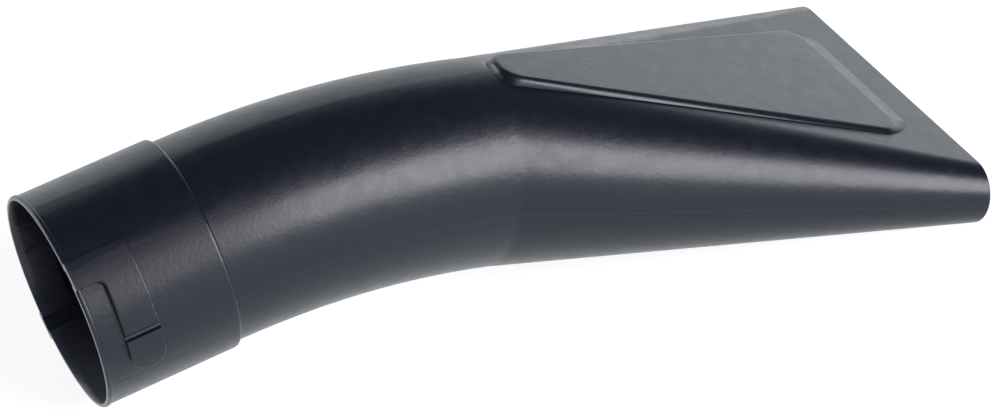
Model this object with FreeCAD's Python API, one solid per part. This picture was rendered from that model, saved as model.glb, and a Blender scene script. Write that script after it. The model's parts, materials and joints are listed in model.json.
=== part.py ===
import FreeCAD
import Part
import math
import os

# Leaf blower nozzle tube, one blow-moulded piece of even wall.
# Lengths in millimetres, angles in degrees. The inlet axis is +X until the piece is laid down.

WALL = 2.0

COLLAR_DIA = 76.0
COLLAR_LENGTH = 50.0
STEP = 1.65
SHOULDER_LAND = 0.1
LIP_RAISE = 0.4
LIP_LENGTH = 2.0
LIP_ROUND = 0.8

BEND_RADIUS = 308.0
BEND_ANGLE = 19.8

NOZZLE_LENGTH = 172.0
OUTLET_WIDTH = 138.0
OUTLET_HEIGHT = 23.0
OUTLET_ROUND = 0.6

PANEL_RAISE = 2.4
PANEL_END_RAISE = 1.4
PANEL_START = 3.4
PANEL_START_WIDTH = 15.8
PANEL_TAPER = 11.6
PANEL_END_MARGIN = 17.0
PANEL_WALL_SLOPE = 75.0
PANEL_TIP_SLOPE = 45.0
PANEL_RAMP_SLOPE = 30.0
PANEL_ROOT = 2.0
PANEL_CORNER = 8.0
PANEL_EDGE_ROUND = 2.0

# Two bayonet channels face each other across the collar; angles rise from the parting line.
CHANNEL_RAISE = 2.0
CHANNEL_ENTRY_TOP = 54.5
CHANNEL_ENTRY_BOTTOM = 40.0
CHANNEL_NEAR = 9.6
CHANNEL_FAR = 22.1
CHANNEL_POCKET = -4.7
CHANNEL_CORNER = 2.4
CHANNEL_EDGE_ROUND = 0.6
SNAP_ANGLE = 8.6
SNAP_ROUND = 1.3
SNAP_DEPTH = 1.5

# Cutting bodies run past a face by OVERRUN; edges are picked by place to within TOUCH.
OVERRUN = 12.0
TOUCH = 0.01

COLLAR_R = COLLAR_DIA / 2
LIP_R = COLLAR_R + LIP_RAISE
TUBE_R = COLLAR_R - STEP
SLOT_HALF = (OUTLET_WIDTH - OUTLET_HEIGHT) / 2
PANEL_SLOPE = math.degrees(math.atan2(TUBE_R - OUTLET_HEIGHT / 2, NOZZLE_LENGTH))

V = FreeCAD.Vector
X_AXIS = V(1, 0, 0)
Y_AXIS = V(0, 1, 0)
BEND_CENTRE = V(COLLAR_LENGTH, 0, -BEND_RADIUS)


def turn(axis, angle, base=V(0, 0, 0)):
    return FreeCAD.Placement(base, FreeCAD.Rotation(axis, angle))


def placed(shape, placement):
    return shape.transformed(placement.toMatrix())


def nozzle_frame():
    """Stands at the end of the bend, with +X along the nozzle."""
    reach = math.radians(BEND_ANGLE)
    end = BEND_CENTRE + V(math.sin(reach), 0, math.cos(reach)) * BEND_RADIUS
    return turn(Y_AXIS, BEND_ANGLE, end)


def panel_frame(inset):
    """Lies on the flat of the nozzle's top, with +X down the slope."""
    return nozzle_frame().multiply(turn(Y_AXIS, PANEL_SLOPE, V(0, 0, TUBE_R - inset)))


def circle_edges(solid, x, radius):
    """The round edges about the inlet axis at one station."""
    found = []
    for edge in solid.Edges:
        box = edge.BoundBox
        if abs(box.XMin - x) < TOUCH and abs(box.XMax - x) < TOUCH and abs(box.ZMax - radius) < TOUCH:
            found.append(edge)
    return found


def collar_outside():
    """Barrel with a rounded shoulder, and a beaded lip round its mouth."""
    barrel = Part.makeCylinder(COLLAR_R, COLLAR_LENGTH, V(0, 0, 0), X_AXIS)
    barrel = barrel.makeFillet(STEP - SHOULDER_LAND, circle_edges(barrel, COLLAR_LENGTH, COLLAR_R))
    lip = Part.makeCylinder(LIP_R, LIP_LENGTH, V(0, 0, 0), X_AXIS)
    lip = lip.makeFillet(LIP_ROUND, circle_edges(lip, 0, LIP_R) + circle_edges(lip, LIP_LENGTH, LIP_R))
    return barrel.fuse(lip)


def collar_inside():
    """Socket for the blower's outlet, and the throat behind it."""
    bore = Part.makeCylinder(COLLAR_R - WALL, COLLAR_LENGTH - WALL + OVERRUN, V(-OVERRUN, 0, 0), X_AXIS)
    throat = Part.makeCylinder(TUBE_R - WALL, COLLAR_LENGTH, V(0, 0, 0), X_AXIS)
    return bore.fuse(throat)


def bend(inset):
    ring = Part.makeCircle(TUBE_R - inset, V(COLLAR_LENGTH, 0, 0), X_AXIS)
    return Part.Face(Part.Wire([ring])).revolve(BEND_CENTRE, Y_AXIS, BEND_ANGLE)


def quarter(x, centre, radius, side, rise):
    """Quarter circle from the side to the crown, about a point at +/- centre."""
    half = radius * math.sqrt(0.5)
    start = V(x, side * (centre + radius), 0)
    middle = V(x, side * (centre + half), rise * half)
    end = V(x, side * centre, rise * radius)
    return Part.Arc(start, middle, end).toShape()


def round_to_slot(inset):
    """Four cone corners and two flats between the tube's circle and the outlet slot."""
    big = TUBE_R - inset
    small = OUTLET_HEIGHT / 2 - inset
    faces = []
    inlet = []
    outlet = []
    for rise in (1, -1):
        crown = V(0, 0, rise * big)
        left = V(NOZZLE_LENGTH, -SLOT_HALF, rise * small)
        right = V(NOZZLE_LENGTH, SLOT_HALF, rise * small)
        faces.append(Part.Face(Part.makePolygon([crown, left, right, crown])))
        outlet.append(Part.makeLine(left, right))
        for side in (1, -1):
            start = quarter(0, 0, big, side, rise)
            end = quarter(NOZZLE_LENGTH, SLOT_HALF, small, side, rise)
            faces.append(Part.makeRuledSurface(start, end))
            inlet.append(start)
            outlet.append(end)
    mouth = Part.Face(Part.Wire(Part.__sortEdges__(outlet)))
    faces.append(Part.Face(Part.Wire(Part.__sortEdges__(inlet))))
    faces.append(mouth)
    shell = Part.Shell(faces)
    shell.sewShape()
    body = Part.Solid(shell)
    if body.Volume < 0:
        body.reverse()
    return body.removeSplitter(), mouth


def nozzle(inset):
    body, mouth = round_to_slot(inset)
    if inset:
        body = body.fuse(mouth.extrude(V(OVERRUN, 0, 0)))
    else:
        rim = [e for e in body.Edges if e.BoundBox.XMin > NOZZLE_LENGTH - TOUCH]
        body = body.makeFillet(OUTLET_ROUND, rim)
    return placed(body, nozzle_frame())


def panel_corner(inset, level, at_outlet):
    """Place along the slope, half width and rounding of the panel's corners at a height over the flat."""
    down = PANEL_RAISE - level
    steep = math.radians(PANEL_WALL_SLOPE)
    widen = down / math.tan(steep) - inset * math.tan(steep / 2)
    if at_outlet:
        ramp = math.radians(PANEL_RAMP_SLOPE)
        length = NOZZLE_LENGTH / math.cos(math.radians(PANEL_SLOPE)) - PANEL_END_MARGIN
        along = length - level / math.tan(ramp) - inset * math.tan(ramp / 2)
    else:
        tip = math.radians(PANEL_TIP_SLOPE)
        along = PANEL_START - down / math.tan(tip) + inset * math.tan(tip / 2)
    half = PANEL_START_WIDTH / 2 + widen + (along - PANEL_START) * math.tan(math.radians(PANEL_TAPER))
    return along, half, PANEL_CORNER + widen


def panel_outline(inset, first, last):
    """Tapered outline of the raised panel, from a height at its tip to one toward the outlet."""
    tip, near, tip_round = panel_corner(inset, first, False)
    end, far, end_round = panel_corner(inset, last, True)
    corners = [V(tip, -near, first), V(end, -far, last), V(end, far, last), V(tip, near, first)]
    return rounded(corners, [tip_round, end_round, end_round, tip_round])


def rounded(corners, radii):
    """Closed outline with a tangent arc at each corner."""
    ends = []
    edges = []
    for here, (point, radius) in enumerate(zip(corners, radii)):
        back = (corners[here - 1] - point).normalize()
        ahead = (corners[(here + 1) % len(corners)] - point).normalize()
        half = back.getAngle(ahead) / 2
        centre = point + (back + ahead).normalize() * (radius / math.sin(half))
        reach = radius / math.tan(half)
        middle = centre + (point - centre).normalize() * radius
        ends.append((point + back * reach, point + ahead * reach))
        edges.append(Part.Arc(ends[-1][0], middle, ends[-1][1]).toShape())
    for here in range(len(corners)):
        edges.append(Part.makeLine(ends[here - 1][1], ends[here][0]))
    return Part.Wire(Part.__sortEdges__(edges))


def panel(inset):
    """Low plateau on the nozzle's flat: steep sides, a sloping tip, and a ramp toward the outlet."""
    root = panel_outline(inset, -PANEL_ROOT, -PANEL_ROOT)
    crown = panel_outline(inset, PANEL_RAISE, PANEL_END_RAISE)
    body = Part.makeLoft([root, crown], True, True)
    if not inset:
        top = max(body.Faces, key=lambda face: face.CenterOfMass.z)
        body = body.makeFillet(PANEL_EDGE_ROUND, top.Edges)
    return placed(body, panel_frame(inset))


def sector(low, high, start, end, inner, outer):
    """Block of a ring about the inlet axis, between two angles and two stations."""
    corners = [V(start, -inner, 0), V(end, -inner, 0), V(end, -outer, 0), V(start, -outer, 0)]
    face = Part.Face(Part.makePolygon(corners + corners[:1]))
    return placed(face.revolve(V(0, 0, 0), X_AXIS, low - high), turn(X_AXIS, -low))


def channel(inset):
    """One bayonet path: in from the rim, round the collar, over the snap, into a round pocket."""
    top = COLLAR_R + CHANNEL_RAISE - inset
    root = COLLAR_R - WALL - inset
    trim = math.degrees(inset / COLLAR_R)
    mouth = -OVERRUN if inset else 0
    high = CHANNEL_ENTRY_TOP - trim
    entry = sector(CHANNEL_ENTRY_BOTTOM + trim, high, mouth, CHANNEL_FAR - inset, root, top)
    run = sector(CHANNEL_POCKET, high, CHANNEL_NEAR + inset, CHANNEL_FAR - inset, root, top)
    path = entry.fuse(run).removeSplitter()
    bends = [e for e in path.Edges if is_corner(e, inset)]
    path = path.makeFillet(CHANNEL_CORNER, bends)
    path = path.fuse(pocket(inset, root, top)).removeSplitter()
    if not inset:
        path = path.makeFillet(CHANNEL_EDGE_ROUND, [e for e in path.Edges if on_top(e, top)])
    return path.cut(snap(inset))


def on_top(edge, top):
    """True for an edge that runs on the channel's outer face, rim end apart."""
    ends = [edge.valueAt(edge.FirstParameter), edge.valueAt(edge.LastParameter)]
    if any(abs(math.hypot(p.y, p.z) - top) > TOUCH for p in ends):
        return False
    return any(p.x > TOUCH for p in ends)


def is_corner(edge, inset):
    """Radial edges of the path, at its far corner and inside its elbow."""
    box = edge.BoundBox
    if box.XLength > TOUCH or not isinstance(edge.Curve, (Part.Line, Part.LineSegment)):
        return False
    middle = edge.valueAt((edge.FirstParameter + edge.LastParameter) / 2)
    angle = math.degrees(math.atan2(middle.z, -middle.y))
    at_end = abs(middle.x - CHANNEL_FAR + inset) < TOUCH and angle > CHANNEL_ENTRY_BOTTOM
    at_elbow = abs(middle.x - CHANNEL_NEAR - inset) < TOUCH and angle > SNAP_ANGLE
    return at_end or at_elbow


def pocket(inset, root, top):
    """Round end of the path."""
    middle = (CHANNEL_NEAR + CHANNEL_FAR) / 2
    radius = (CHANNEL_FAR - CHANNEL_NEAR) / 2 - inset
    post = Part.makeCylinder(radius, top + OVERRUN, V(middle, 0, 0), V(0, -1, 0))
    ring = Part.makeCylinder(top, CHANNEL_FAR, V(0, 0, 0), X_AXIS)
    core = Part.makeCylinder(root, CHANNEL_FAR, V(0, 0, 0), X_AXIS)
    return placed(post, turn(X_AXIS, -CHANNEL_POCKET)).common(ring.cut(core))


def snap(inset):
    """Round dent across the path, which stands as a ridge on the inside."""
    reach = COLLAR_R + CHANNEL_RAISE + SNAP_ROUND - SNAP_DEPTH
    bar = Part.makeCylinder(SNAP_ROUND + inset, CHANNEL_FAR, V(0, -reach, 0), X_AXIS)
    return placed(bar, turn(X_AXIS, -SNAP_ANGLE))


def skin(inset):
    """The piece as a solid body, drawn in from its outside by the inset."""
    first = channel(inset)
    second = placed(first, turn(X_AXIS, 180))
    collar = collar_inside() if inset else collar_outside()
    return collar.fuse([first, second, bend(inset), nozzle(inset), panel(inset)])


def outlet_foot():
    """Centre of the rounding under the outlet, before the piece is laid down."""
    slope = math.radians(PANEL_SLOPE)
    rise = OUTLET_ROUND / math.cos(slope) - OUTLET_ROUND * math.tan(slope)
    return nozzle_frame().multVec(V(NOZZLE_LENGTH - OUTLET_ROUND, 0, rise - OUTLET_HEIGHT / 2))


def rest_angle():
    """Tilt that brings the lip and the outlet's lower edge onto one floor."""
    span = outlet_foot() - V(LIP_ROUND, 0, LIP_ROUND - LIP_R)
    return math.degrees(math.atan2(span.z, span.x) + math.asin((LIP_ROUND - OUTLET_ROUND) / span.Length))


def laid_down(shape):
    """Rests the piece on the floor, centred over the origin."""
    tilt = turn(Y_AXIS, rest_angle())
    shape = placed(shape, tilt)
    box = shape.optimalBoundingBox(False, False)
    floor = tilt.multVec(outlet_foot()).z - OUTLET_ROUND
    shape.translate(V(-(box.XMin + box.XMax) / 2, 0, -floor))
    return shape


def main():
    os.makedirs("parts", exist_ok=True)
    tube = skin(0).cut(skin(WALL)).removeSplitter()
    tube = laid_down(tube)
    tube.exportStep("parts/nozzle_tube.step")
    box = tube.optimalBoundingBox(False, False)
    print("nozzle_tube", tube.isValid(), len(tube.Solids), round(tube.Volume), box)


main()
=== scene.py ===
import json
import math

import bpy
from bpy.props import FloatProperty, FloatVectorProperty, PointerProperty
from mathutils import Matrix, Vector


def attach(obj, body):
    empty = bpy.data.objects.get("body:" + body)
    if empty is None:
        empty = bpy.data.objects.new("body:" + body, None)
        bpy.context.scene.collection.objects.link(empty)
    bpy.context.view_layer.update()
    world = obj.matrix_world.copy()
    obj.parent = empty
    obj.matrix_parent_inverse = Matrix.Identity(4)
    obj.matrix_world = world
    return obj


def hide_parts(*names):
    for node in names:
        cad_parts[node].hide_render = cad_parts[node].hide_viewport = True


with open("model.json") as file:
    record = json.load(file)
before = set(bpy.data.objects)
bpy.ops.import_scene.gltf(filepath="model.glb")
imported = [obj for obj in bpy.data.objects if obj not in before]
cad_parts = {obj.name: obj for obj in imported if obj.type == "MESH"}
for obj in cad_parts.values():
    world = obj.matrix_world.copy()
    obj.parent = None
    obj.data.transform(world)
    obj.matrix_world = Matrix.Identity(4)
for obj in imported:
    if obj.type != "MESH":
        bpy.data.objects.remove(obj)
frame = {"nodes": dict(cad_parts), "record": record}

bl_info = {
    "name": "Leaf Blower Nozzle Tube",
    "version": (1, 0, 0),
    "blender": (4, 2, 0),
    "location": "View3D > Sidebar > Nozzle Tube",
    "description": "Dresses a blow-moulded blower nozzle tube and sets it in a studio",
    "category": "Object",
}

MM = 0.001

# Sizes of the moulding, which the seam and the shading follow.
COLLAR_R = 38 * MM
BORE_R = 36 * MM
COLLAR_LENGTH = 50 * MM
SHOULDER = 1.7 * MM
CHANNEL_FAR = 22.1 * MM
TUBE_R = 36.35 * MM
BEND_RADIUS = 308 * MM
BEND_ANGLE = math.radians(19.8)
NOZZLE_LENGTH = 172 * MM
OUTLET_HALF_WIDTH = 69 * MM
OUTLET_HALF_HEIGHT = 11.5 * MM
OUTLET_ROUND = 0.6 * MM
SLOT_HALF = OUTLET_HALF_WIDTH - OUTLET_HALF_HEIGHT
NARROWING = OUTLET_HALF_HEIGHT - TUBE_R
PANEL_START = 3.4 * MM
PANEL_RAISE = 2.4 * MM
PANEL_FALL = 1.0 / 151
RAMP_EASE = 146 * MM
RAMP_TOP = 153 * MM
RAMP_FOOT = 160.5 * MM
RAMP_RAISE = 1.4 * MM
RAMP_HALF = 41 * MM
RAMP_BACK = 1.7 * MM
RAMP_DRAW = 4.9 * MM
RAMP_CORNER = 12 * MM
RAMP_TILT = math.radians(9.5)
RAMP_LEAN = math.sin(math.radians(7))

# The panel's edge is shaded as a round of this height, which grows toward the outlet.
EDGE_HEIGHT = 2.2 * MM
EDGE_GROWTH = 0.032
EDGE_LOWEST = math.sin(math.radians(12))

# The socket's mount gives the inlet axis and the rim; the bend and the nozzle follow from there.
SOCKET = frame["record"]["mounts"][0]
INLET_AXIS = -Vector(SOCKET["axis"]).normalized()
RIM_CENTRE = Vector(SOCKET["pos_m"]) - INLET_AXIS * (SOCKET["dims"]["length_mm"] * MM / 2)
SIDEWAYS = Vector((0, 1, 0))
COLLAR_END = RIM_CENTRE + INLET_AXIS * COLLAR_LENGTH
BEND_CENTRE = COLLAR_END - INLET_AXIS.cross(SIDEWAYS) * BEND_RADIUS
BEND_TURN = Matrix.Rotation(BEND_ANGLE, 3, SIDEWAYS)
NOZZLE_AXIS = BEND_TURN @ INLET_AXIS
NOZZLE_START = BEND_CENTRE + BEND_TURN @ (COLLAR_END - BEND_CENTRE)
NOZZLE_UP = NOZZLE_AXIS.cross(SIDEWAYS)

# The panel lies on the nozzle's falling flat.
FLAT_TURN = Matrix.Rotation(math.atan2(-NARROWING, NOZZLE_LENGTH), 3, SIDEWAYS)
FLAT_AXIS = FLAT_TURN @ NOZZLE_AXIS
FLAT_UP = FLAT_TURN @ NOZZLE_UP
FLAT_START = NOZZLE_START + NOZZLE_UP * TUBE_R
RAMP_NORMAL = Matrix.Rotation(RAMP_TILT, 3, SIDEWAYS) @ FLAT_UP

# Where the lights point, and the photograph's camera.
TUBE_MIDDLE = Vector((0, 0, 0.05))
CAMERA_PLACE = (-0.545302, -1.087808, 0.868113)
CAMERA_FORWARD = Vector((0.370889, 0.732609, -0.570723)).normalized()
CAMERA_RIGHT = Vector((0.887664, -0.460279, -0.013983))

# The round room: its radius, the heights of its low card, its kerb, its side wall and its back wall, and
# the azimuths from +Y toward +X that they span.
ROOM_RADIUS = 10.2
LOW_CARD, KERB, SIDE_WALL, BACK_WALL = 0.8, 1.65, 4.5, 7.35
ALL_ROUND, SIDE_SPAN, BACK_SPAN, CARD_SPAN = (-181, 181), (-100, 76), (-100, 40), (30, 60)

# What the camera sees of each paper, and what the tube mirrors of it.
PAPERS = (("floor_paper", 0.86, 0.82), ("wall_paper", 1.0, 1.14), ("card_paper", 1.0, 3.8))
FLOOR_INDEX, WALL_INDEX, CARD_INDEX = range(3)


def linear(hex_colour):
    """Linear RGBA of an sRGB hex value."""
    channels = [int(hex_colour[i:i + 2], 16) / 255 for i in (0, 2, 4)]
    values = [c / 12.92 if c <= 0.04045 else ((c + 0.055) / 1.055) ** 2.4 for c in channels]
    return (*values, 1.0)


def add_node(tree, kind, inputs=None, links=None, **settings):
    """Adds a node, sets its settings and input values, and links other nodes' outputs to its inputs."""
    node = tree.nodes.new(kind)
    for name, value in settings.items():
        setattr(node, name, value)
    for name, value in (inputs or {}).items():
        node.inputs[name].default_value = value
    for name, source in (links or {}).items():
        tree.links.new(source, node.inputs[name])
    return node


class TubeSettings(bpy.types.PropertyGroup):
    """Finish of the moulded tube."""
    colour: FloatVectorProperty(
        name="Colour", description="Blue-black polyethylene of the outside", subtype="COLOR", size=4,
        min=0, max=1, default=linear("0d0f1e"))
    # Painted light: a paler colour laid on the bore, most on its lower part near the mouth, standing in for
    # light that enters the mouth.
    bore_light_colour: FloatVectorProperty(
        name="Socket colour", description="Scuffed bore that slides on the blower", subtype="COLOR", size=4,
        min=0, max=1, default=linear("50535f"))
    # Painted highlight: a pale grey laid on the rim's end face in place of the reflection that lights it.
    rim_highlight_colour: FloatVectorProperty(
        name="Rim colour", description="Trimmed edge of the mouth", subtype="COLOR", size=4,
        min=0, max=1, default=linear("7c7f84"))
    rim_width: FloatProperty(
        name="Rim width", description="Wall left at the rim, inside the lip", unit="LENGTH",
        default=1.0 * MM, min=0)
    rim_depth: FloatProperty(
        name="Rim depth", description="How far the bore's lead-in reaches", unit="LENGTH",
        default=3 * MM, min=0)


class SeamSettings(bpy.types.PropertyGroup):
    """Bead of the mould's parting line."""
    width: FloatProperty(
        name="Width", description="Width of the bead", unit="LENGTH", default=0.5 * MM, min=0)
    height: FloatProperty(
        name="Height", description="How far the bead stands out", unit="LENGTH", default=0.08 * MM, min=0)


class StageSettings(bpy.types.PropertyGroup):
    """Studio around the tube."""
    lens: FloatProperty(
        name="Lens", description="Focal length on a 36 mm wide sensor", default=153.1, min=10)
    softbox: FloatProperty(
        name="Softbox", description="Radiance of the large softbox in front", default=8.6, min=0)
    fill: FloatProperty(
        name="Fill", description="Radiance of the dim softbox beside it", default=1.1, min=0)
    back: FloatProperty(
        name="Back", description="Radiance of the softbox behind the inlet", default=3.0, min=0)


# Places of the colour sockets on a mix node, which share their names with others.
COLOUR_A, COLOUR_B, MIXED = 6, 7, 2

# How far the painted light reaches into the bore, and the depth of the painted highlight on its rim.
BORE_LIGHT_FULL, BORE_LIGHT_END = 0.1 * COLLAR_LENGTH, 0.7 * COLLAR_LENGTH
RIM_HIGHLIGHT_FULL, RIM_HIGHLIGHT_END = 0.1 * MM, 0.3 * MM

# Sizes and depths of the skin's patterns. The blasted mould's grain is coarser than it is, so that it shows.
WAVE_SIZE, WAVE_DEPTH = 16 * MM, 0.01 * MM
GRAIN_SIZE, GRAIN_DEPTH = 1.3 * MM, 0.042 * MM
CLOUD_SIZE = 5 * MM
SHEEN_LOW, SHEEN_HIGH = 0.27, 0.35


def black_polyethylene(settings):
    """HDPE, blow-moulded against a fine-blasted cavity: satin blue-black, with painted light in the bore,
    paler below and near the mouth, and a painted highlight on the rim's end face.
    """
    material = bpy.data.materials.get("black_polyethylene_finish")
    if material:
        return material
    material = bpy.data.materials.new("black_polyethylene_finish")
    material.use_nodes = True
    tree = material.node_tree
    tree.nodes.clear()
    coordinates = add_node(tree, "ShaderNodeTexCoord")
    place = coordinates.outputs["Object"]

    # Faces that turn toward the inlet axis near the rim are the bore's; they are painted paler as painted
    # light entering the mouth, most below and fading deeper in.
    reach = add_node(tree, "ShaderNodeVectorMath", operation="SUBTRACT", inputs={1: RIM_CENTRE},
                     links={0: place})
    along = add_node(tree, "ShaderNodeVectorMath", operation="DOT_PRODUCT", inputs={1: INLET_AXIS},
                     links={0: reach.outputs["Vector"]})
    outward = add_node(tree, "ShaderNodeVectorMath", operation="DOT_PRODUCT",
                       links={0: reach.outputs["Vector"], 1: coordinates.outputs["Normal"]})
    inside = add_node(tree, "ShaderNodeMapRange", links={"Value": outward.outputs["Value"]},
                      inputs={"From Min": 0, "From Max": -0.5 * BORE_R})
    socket = add_node(tree, "ShaderNodeMapRange", links={"Value": along.outputs["Value"]},
                      inputs={"From Min": BORE_LIGHT_END, "From Max": BORE_LIGHT_FULL})
    height = add_node(tree, "ShaderNodeVectorMath", operation="DOT_PRODUCT",
                      inputs={1: INLET_AXIS.cross(SIDEWAYS)}, links={0: reach.outputs["Vector"]})
    below = add_node(tree, "ShaderNodeMapRange", links={"Value": height.outputs["Value"]},
                     inputs={"From Min": 0.4 * BORE_R, "From Max": -0.4 * BORE_R, "To Min": 0.25})
    lower = add_node(tree, "ShaderNodeMath", operation="MULTIPLY",
                     links={0: inside.outputs["Result"], 1: below.outputs["Result"]})
    painted_bore_light = add_node(tree, "ShaderNodeMath", operation="MULTIPLY",
                       links={0: lower.outputs[0], 1: socket.outputs["Result"]})
    # Painted highlight: the rim's end face, within a fraction of a millimetre of the mouth, is painted pale.
    rim_glint = add_node(tree, "ShaderNodeMapRange", links={"Value": along.outputs["Value"]},
                       inputs={"From Min": RIM_HIGHLIGHT_END, "From Max": RIM_HIGHLIGHT_FULL})
    # Painted light: the bore colour is mixed in where the bore would catch light through the mouth.
    with_bore_light = add_node(tree, "ShaderNodeMix", data_type="RGBA", links={"Factor": painted_bore_light.outputs[0]},
                       inputs={COLOUR_A: settings.colour, COLOUR_B: settings.bore_light_colour})
    colour = add_node(tree, "ShaderNodeMix", data_type="RGBA", inputs={COLOUR_B: settings.rim_highlight_colour},
                      links={"Factor": rim_glint.outputs["Result"], COLOUR_A: with_bore_light.outputs[MIXED]})

    # Waves from the parison, grain from the blasted mould and a cloudy sheen.
    wave = add_node(tree, "ShaderNodeTexNoise", inputs={"Scale": 1 / WAVE_SIZE, "Detail": 1.0},
                    links={"Vector": place})
    grain = add_node(tree, "ShaderNodeTexNoise", inputs={"Scale": 1 / GRAIN_SIZE, "Detail": 2.0},
                     links={"Vector": place})
    cloud = add_node(tree, "ShaderNodeTexNoise", inputs={"Scale": 1 / CLOUD_SIZE, "Detail": 4.0},
                     links={"Vector": place})
    sheen = add_node(tree, "ShaderNodeMapRange", links={"Value": cloud.outputs["Fac"]},
                     inputs={"From Min": 0.3, "From Max": 0.7, "To Min": SHEEN_LOW, "To Max": SHEEN_HIGH})
    soft = add_node(tree, "ShaderNodeBump", inputs={"Strength": 1.0, "Distance": WAVE_DEPTH},
                    links={"Height": wave.outputs["Fac"]})
    fine = add_node(tree, "ShaderNodeBump", inputs={"Strength": 1.0, "Distance": GRAIN_DEPTH},
                    links={"Height": grain.outputs["Fac"], "Normal": soft.outputs["Normal"]})
    shader = add_node(tree, "ShaderNodeBsdfPrincipled",
                      inputs={"IOR": 1.52, "Specular Tint": linear("f3f7ff")},
                      links={"Base Color": colour.outputs[MIXED], "Roughness": sheen.outputs["Result"],
                             "Normal": fine.outputs["Normal"]})
    add_node(tree, "ShaderNodeOutputMaterial", links={"Surface": shader.outputs["BSDF"]})
    return material


# Width of the soft crease, how near a point lies to the skin it is on, and how well its face follows it.
CREASE_SOFT = 1.6 * MM
SKIN_TOUCH = 0.12 * MM
SKIN_MATCH = 0.995

# The panel's edge turns from almost level to almost upright, toward the front or toward the inlet.
EDGE_LEVEL, EDGE_UPRIGHT = 0.998, 0.1
EDGE_FRONT, EDGE_TIP = -0.02, -0.2

# Merging distance, touch at the rim, and the angles that stay smooth.
MERGE = 0.002 * MM
RIM_TOUCH = 0.05 * MM
TUBE_SMOOTH = math.radians(30)
CREASE_SHARP = math.radians(12)
BEAD_SMOOTH = math.radians(50)


def over_skin(point):
    """How far a point stands over the nozzle's skin, and its share of the way to the outlet."""
    share = (point - NOZZLE_START).dot(NOZZLE_AXIS) / NOZZLE_LENGTH
    rise = (point - NOZZLE_START).dot(NOZZLE_UP)
    out = max(abs(point.y) - SLOT_HALF * share, 0.0)
    return math.hypot(out, rise) - TUBE_R - NARROWING * share, share


def skin_normal(point):
    """True outward normal at a point of the nozzle's skin, or None off it and at the crease."""
    height, share = over_skin(point)
    if abs(height) > SKIN_TOUCH or not CREASE_SOFT / 2 / NOZZLE_LENGTH < share < 1:
        return None
    rise = (point - NOZZLE_START).dot(NOZZLE_UP)
    out = max(abs(point.y) - SLOT_HALF * share, 0.0)
    angle = math.atan2(rise, out)
    lean = -(SLOT_HALF * math.cos(angle) + NARROWING) / NOZZLE_LENGTH
    side = math.copysign(math.cos(angle), point.y)
    return (NOZZLE_AXIS * lean + SIDEWAYS * side + NOZZLE_UP * math.sin(angle)).normalized()


def edge_normal(point, normal):
    """Normal on the panel's rounded edge, which grows fuller toward the outlet."""
    offset = point - FLAT_START
    along = offset.dot(FLAT_AXIS)
    depth = PANEL_RAISE - (along - PANEL_START) * PANEL_FALL - offset.dot(FLAT_UP)
    level = min(max(1 - depth / (EDGE_HEIGHT + EDGE_GROWTH * along), EDGE_LOWEST), 1.0)
    outward = (normal - FLAT_UP * normal.dot(FLAT_UP)).normalized()
    return FLAT_UP * level + outward * math.sqrt(1 - level * level)


def is_panel_edge(mesh, face):
    """True for the near and tip sides of the raised panel."""
    if not EDGE_UPRIGHT <= face.normal.dot(FLAT_UP) <= EDGE_LEVEL:
        return False
    if face.normal.y > EDGE_FRONT and face.normal.dot(FLAT_AXIS) > EDGE_TIP:
        return False
    heights = [over_skin(mesh.vertices[index].co) for index in face.vertices]
    return max(height for height, share in heights) > SKIN_TOUCH and 0 < heights[0][1] < 1


def even_shading(mesh):
    """Shades the nozzle's skin by its true normals, the panel's edge as one round and its ramp as a flat."""
    normals = [corner.vector.copy() for corner in mesh.corner_normals]
    for face in mesh.polygons:
        on_edge = is_panel_edge(mesh, face)
        for loop, index in zip(face.loop_indices, face.vertices):
            point = mesh.vertices[index].co
            on_skin = skin_normal(point)
            if on_edge:
                normals[loop] = edge_normal(point, normals[loop])
            elif on_skin and on_skin.dot(face.normal) > SKIN_MATCH:
                normals[loop] = on_skin
            elif on_ramp(point) and face.normal.dot(FLAT_AXIS) > RAMP_LEAN:
                normals[loop] = RAMP_NORMAL
    mesh.normals_split_custom_set(normals)


def on_ramp(point):
    """True near the panel's outlet end."""
    along = (point - FLAT_START).dot(FLAT_AXIS)
    return RAMP_EASE < along < RAMP_FOOT + 1 * MM and abs(point.y) < RAMP_HALF


def ease_ramp(mesh):
    """Draws the ramp at the panel's outlet end out to a long, gentle slope."""
    for vertex in mesh.vertices:
        offset = vertex.co - FLAT_START
        along, level = offset.dot(FLAT_AXIS), offset.dot(FLAT_UP)
        if not on_ramp(vertex.co) or not -0.3 * MM < level < PANEL_RAISE:
            continue
        share = min((along - RAMP_EASE) / (RAMP_TOP - RAMP_EASE), 1.0)
        fall = 1 - min(level / RAMP_RAISE, 1.0)
        inner = min(max((RAMP_HALF - abs(vertex.co.y)) / RAMP_CORNER, 0.0), 1.0)
        shift = RAMP_DRAW * fall * inner - RAMP_BACK
        vertex.co += FLAT_AXIS * (shift * share * share * (3 - 2 * share))


def ease_rim(mesh, width):
    """Flares the bore's mouth, which leaves a thin wall inside the lip."""
    for vertex in mesh.vertices:
        reach = vertex.co - RIM_CENTRE
        out = reach - INLET_AXIS * reach.dot(INLET_AXIS)
        if abs(reach.dot(INLET_AXIS)) < RIM_TOUCH and abs(out.length - BORE_R) < RIM_TOUCH:
            vertex.co += out.normalized() * (COLLAR_R - width - out.length)


def mark_creases(mesh, angle):
    """Marks the hollow edges above an angle as sharp, such as the foot of the panel."""
    sides = {}
    for face in mesh.polygons:
        for key in face.edge_keys:
            sides.setdefault(key, []).append(face)
    for edge in mesh.edges:
        faces = sides.get(edge.key, [])
        if len(faces) != 2:
            continue
        hollow = (faces[1].center - faces[0].center).dot(faces[0].normal) > 0
        if hollow and faces[0].normal.angle(faces[1].normal, 0) > angle:
            edge.use_edge_sharp = True


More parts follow.
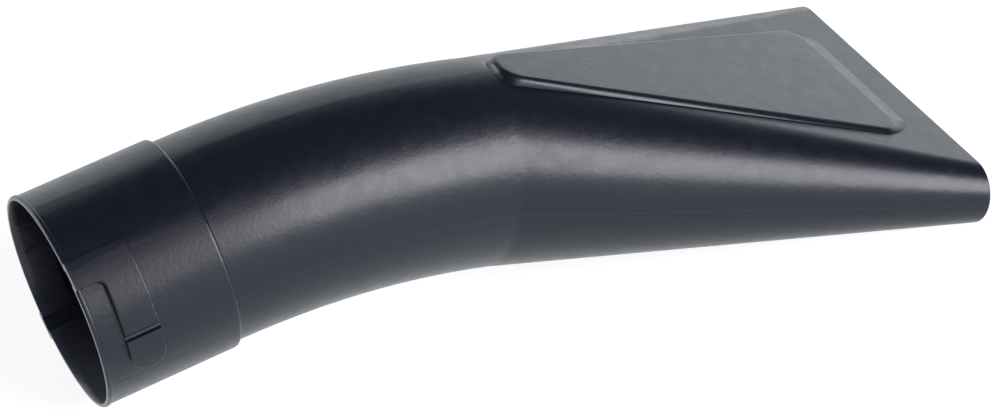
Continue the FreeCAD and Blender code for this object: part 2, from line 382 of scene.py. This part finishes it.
class OBJECT_OT_nozzle_tube(bpy.types.Operator):
    """Smooths a copy of the moulded tube, eases its rim and gives it its finish"""
    bl_idname = "object.nozzle_tube"
    bl_label = "Nozzle Tube"

    def execute(self, context):
        settings = context.scene.nozzle_tube_finish
        bpy.ops.object.select_all(action="DESELECT")
        tube = bpy.data.objects.new("moulded_tube", frame["nodes"]["nozzle_tube"].data.copy())
        context.scene.collection.objects.link(tube)
        context.view_layer.objects.active = tube
        tube.select_set(True)
        bpy.ops.mesh.customdata_custom_splitnormals_clear()
        bpy.ops.object.mode_set(mode="EDIT")
        bpy.ops.mesh.select_all(action="SELECT")
        bpy.ops.mesh.remove_doubles(threshold=MERGE)
        cuts = [(NOZZLE_START - NOZZLE_AXIS * CREASE_SOFT, NOZZLE_AXIS),
                (NOZZLE_START + NOZZLE_AXIS * CREASE_SOFT, NOZZLE_AXIS),
                (RIM_CENTRE + INLET_AXIS * settings.rim_depth, INLET_AXIS)]
        for place, axis in cuts:
            bpy.ops.mesh.select_all(action="SELECT")
            bpy.ops.mesh.bisect(plane_co=place, plane_no=axis)
        bpy.ops.object.mode_set(mode="OBJECT")
        ease_rim(tube.data, settings.rim_width)
        ease_ramp(tube.data)
        bpy.ops.object.shade_smooth_by_angle(angle=TUBE_SMOOTH)
        mark_creases(tube.data, CREASE_SHARP)
        modifier = tube.modifiers.new("even_normals", "WEIGHTED_NORMAL")
        modifier.mode = "FACE_AREA"
        modifier.weight = 50
        modifier.keep_sharp = True
        bpy.ops.object.modifier_apply(modifier=modifier.name)
        even_shading(tube.data)
        tube.data.materials.clear()
        tube.data.materials.append(black_polyethylene(settings))
        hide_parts("nozzle_tube")
        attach(tube, "root")
        return {"FINISHED"}


def bead_ring(settings, place):
    """Small ring across the inlet axis that the bead is drawn from."""
    facing = Matrix((INLET_AXIS.cross(SIDEWAYS), SIDEWAYS, INLET_AXIS)).transposed()
    bpy.ops.object.select_all(action="DESELECT")
    bpy.ops.mesh.primitive_circle_add(
        vertices=10, radius=settings.width / 2, location=place, rotation=facing.to_euler())
    bpy.ops.object.transform_apply(location=True, rotation=True, scale=True)
    bpy.ops.object.mode_set(mode="EDIT")
    bpy.ops.mesh.select_all(action="SELECT")
    bpy.ops.transform.resize(value=(1, settings.height / (settings.width / 2), 1), center_override=place)
    return bpy.context.object


class OBJECT_OT_nozzle_seam(bpy.types.Operator):
    """Draws the parting line's bead along both sides of the tube"""
    bl_idname = "object.nozzle_seam"
    bl_label = "Parting Seam"

    def execute(self, context):
        settings = context.scene.nozzle_tube_seam
        first = CHANNEL_FAR + 2.4 * MM
        collar_bead = bead_ring(settings, RIM_CENTRE + INLET_AXIS * first - SIDEWAYS * COLLAR_R)
        bpy.ops.mesh.extrude_region_move(
            TRANSFORM_OT_translate={"value": INLET_AXIS * (COLLAR_LENGTH - SHOULDER - first)})
        bpy.ops.object.mode_set(mode="OBJECT")

        seam = bead_ring(settings, COLLAR_END - SIDEWAYS * TUBE_R)
        seam.name = "parting_seam"
        bpy.ops.mesh.spin(steps=24, angle=-BEND_ANGLE, center=BEND_CENTRE, axis=SIDEWAYS)
        to_outlet = NOZZLE_AXIS * NOZZLE_LENGTH - SIDEWAYS * (OUTLET_HALF_WIDTH - TUBE_R)
        bpy.ops.mesh.extrude_region_move(
            TRANSFORM_OT_translate={"value": to_outlet * (1 - OUTLET_ROUND / NOZZLE_LENGTH)})
        bpy.ops.object.mode_set(mode="OBJECT")

        collar_bead.select_set(True)
        bpy.ops.object.join()
        modifier = seam.modifiers.new("far_side", "MIRROR")
        modifier.use_axis = (False, True, False)
        bpy.ops.object.modifier_apply(modifier=modifier.name)
        bpy.ops.object.mode_set(mode="EDIT")
        bpy.ops.mesh.select_all(action="SELECT")
        bpy.ops.mesh.remove_doubles(threshold=MERGE)
        bpy.ops.mesh.fill_holes(sides=0)
        bpy.ops.mesh.select_all(action="SELECT")
        bpy.ops.mesh.normals_make_consistent(inside=False)
        bpy.ops.object.mode_set(mode="OBJECT")
        bpy.ops.object.shade_smooth_by_angle(angle=BEAD_SMOOTH)
        seam.data.materials.append(black_polyethylene(context.scene.nozzle_tube_finish))
        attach(seam, "root")
        return {"FINISHED"}


def area_light(name, place, size, radiance, roll=0):
    """Soft box of a width and height that faces the tube and is seen in reflections alone."""
    data = bpy.data.lights.new(name, "AREA")
    data.shape = "RECTANGLE"
    data.size, data.size_y = size
    data.energy = radiance * math.pi * size[0] * size[1]
    data.color = linear("fffcfa")[:3]
    light = bpy.data.objects.new(name, data)
    light.location = place
    facing = (TUBE_MIDDLE - Vector(place)).to_track_quat("-Z", "Y").to_matrix()
    light.rotation_euler = (facing @ Matrix.Rotation(math.radians(roll), 3, "Z")).to_euler()
    light.visible_camera = False
    bpy.context.scene.collection.objects.link(light)


def studio_paper(name, seen, mirrored):
    """White paper: matt under the lights, lifted to white where it is seen, cooler where it is mirrored."""
    material = bpy.data.materials.new(name)
    material.use_nodes = True
    tree = material.node_tree
    tree.nodes.clear()
    path = add_node(tree, "ShaderNodeLightPath")
    to_eye = add_node(tree, "ShaderNodeMath", operation="MULTIPLY", inputs={1: seen},
                      links={0: path.outputs["Is Camera Ray"]})
    by_gloss = add_node(tree, "ShaderNodeMath", operation="MAXIMUM", links={
        0: path.outputs["Is Glossy Ray"], 1: path.outputs["Is Transmission Ray"]})
    by_gloss = add_node(tree, "ShaderNodeMath", operation="MULTIPLY", inputs={1: mirrored},
                        links={0: by_gloss.outputs[0]})
    white = add_node(tree, "ShaderNodeEmission", inputs={"Color": linear("ffffff")},
                     links={"Strength": to_eye.outputs[0]})
    cool = add_node(tree, "ShaderNodeEmission", inputs={"Color": linear("f6fcff")},
                    links={"Strength": by_gloss.outputs[0]})
    matt = add_node(tree, "ShaderNodeBsdfDiffuse", inputs={"Color": linear("a8a8a8")})
    glow = add_node(tree, "ShaderNodeAddShader", links={0: white.outputs[0], 1: cool.outputs[0]})
    both = add_node(tree, "ShaderNodeAddShader", links={0: matt.outputs[0], 1: glow.outputs[0]})
    add_node(tree, "ShaderNodeOutputMaterial", links={"Surface": both.outputs[0]})
    return material


def raise_wall(sweep, level, top, azimuths):
    """Pulls the sweep's edge up from a level to a top, between two azimuths."""
    bpy.ops.object.mode_set(mode="EDIT")
    bpy.ops.mesh.select_mode(type="EDGE")
    bpy.ops.mesh.select_all(action="DESELECT")
    bpy.ops.object.mode_set(mode="OBJECT")
    for edge in sweep.data.edges:
        ends = [sweep.data.vertices[index].co for index in edge.vertices]
        middle = (ends[0] + ends[1]) / 2
        azimuth = math.degrees(math.atan2(middle.x, middle.y))
        at_level = all(abs(end.z - level) < 0.01 for end in ends)
        edge.select = at_level and azimuths[0] < azimuth < azimuths[1]
    bpy.ops.object.mode_set(mode="EDIT")
    bpy.ops.mesh.extrude_edges_move(TRANSFORM_OT_translate={"value": (0, 0, top - level)})
    bpy.ops.object.mode_set(mode="OBJECT")


class OBJECT_OT_nozzle_studio(bpy.types.Operator):
    """Adds the floor, the lights, the world and the camera"""
    bl_idname = "object.nozzle_studio"
    bl_label = "Studio"

    def execute(self, context):
        scene = context.scene
        bpy.ops.object.select_all(action="DESELECT")
        bpy.ops.mesh.primitive_circle_add(vertices=96, radius=ROOM_RADIUS, fill_type="NGON")
        sweep = context.object
        sweep.name = "studio_sweep"
        raise_wall(sweep, 0, LOW_CARD, ALL_ROUND)
        raise_wall(sweep, LOW_CARD, KERB, ALL_ROUND)
        raise_wall(sweep, KERB, SIDE_WALL, SIDE_SPAN)
        raise_wall(sweep, SIDE_WALL, BACK_WALL, BACK_SPAN)
        for paper in PAPERS:
            sweep.data.materials.append(studio_paper(*paper))
        for face in sweep.data.polygons:
            azimuth = math.degrees(math.atan2(face.center.x, face.center.y))
            face.material_index = WALL_INDEX if face.center.z > 0 else FLOOR_INDEX
            if 0 < face.center.z < LOW_CARD and CARD_SPAN[0] < azimuth < CARD_SPAN[1]:
                face.material_index = CARD_INDEX

        world = bpy.data.worlds.new("studio")
        scene.world = world
        world.use_nodes = True
        tree = world.node_tree
        tree.nodes.clear()
        dim = add_node(tree, "ShaderNodeBackground", inputs={"Color": linear("dfe8ff"), "Strength": 0.165})
        add_node(tree, "ShaderNodeOutputWorld", links={"Surface": dim.outputs[0]})
        settings = scene.nozzle_tube_stage
        area_light("front_softbox", (1.27, -1.73, 1.06), (1.9, 1.32), settings.softbox, roll=-15)
        area_light("front_fill", (0.02, -2.0, 1.5), (0.9, 2.2), settings.fill)
        area_light("back_softbox", (-1.5, 1.7, 1.0), (1.5, 1.2), settings.back)

        data = bpy.data.cameras.new("photo_camera")
        data.lens = settings.lens
        data.sensor_width = 36
        data.sensor_fit = "HORIZONTAL"
        camera = bpy.data.objects.new("photo_camera", data)
        up = CAMERA_RIGHT.cross(CAMERA_FORWARD).normalized()
        facing = Matrix((CAMERA_FORWARD.cross(up), up, -CAMERA_FORWARD)).transposed()
        camera.matrix_world = Matrix.Translation(CAMERA_PLACE) @ facing.to_4x4()
        scene.collection.objects.link(camera)
        scene.camera = camera
        scene.view_settings.view_transform = "Standard"
        return {"FINISHED"}


class VIEW3D_PT_nozzle_tube(bpy.types.Panel):
    """Lists the tube's operators and settings"""
    bl_label = "Nozzle Tube"
    bl_space_type = "VIEW_3D"
    bl_region_type = "UI"
    bl_category = "Nozzle Tube"

    def draw(self, context):
        groups = (("nozzle_tube", context.scene.nozzle_tube_finish),
                  ("nozzle_seam", context.scene.nozzle_tube_seam),
                  ("nozzle_studio", context.scene.nozzle_tube_stage))
        for operator, settings in groups:
            box = self.layout.box()
            for name in settings.__annotations__:
                box.prop(settings, name)
            box.operator("object." + operator)


CLASSES = (TubeSettings, SeamSettings, StageSettings, OBJECT_OT_nozzle_tube, OBJECT_OT_nozzle_seam,
           OBJECT_OT_nozzle_studio, VIEW3D_PT_nozzle_tube)


def register():
    for cls in CLASSES:
        bpy.utils.register_class(cls)
    bpy.types.Scene.nozzle_tube_finish = PointerProperty(type=TubeSettings)
    bpy.types.Scene.nozzle_tube_seam = PointerProperty(type=SeamSettings)
    bpy.types.Scene.nozzle_tube_stage = PointerProperty(type=StageSettings)


def unregister():
    del bpy.types.Scene.nozzle_tube_stage
    del bpy.types.Scene.nozzle_tube_seam
    del bpy.types.Scene.nozzle_tube_finish
    for cls in reversed(CLASSES):
        bpy.utils.unregister_class(cls)


def main():
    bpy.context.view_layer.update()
    register()
    bpy.ops.object.nozzle_tube()
    bpy.ops.object.nozzle_seam()
    bpy.ops.object.nozzle_studio()


if __name__ == "__main__":
    main()
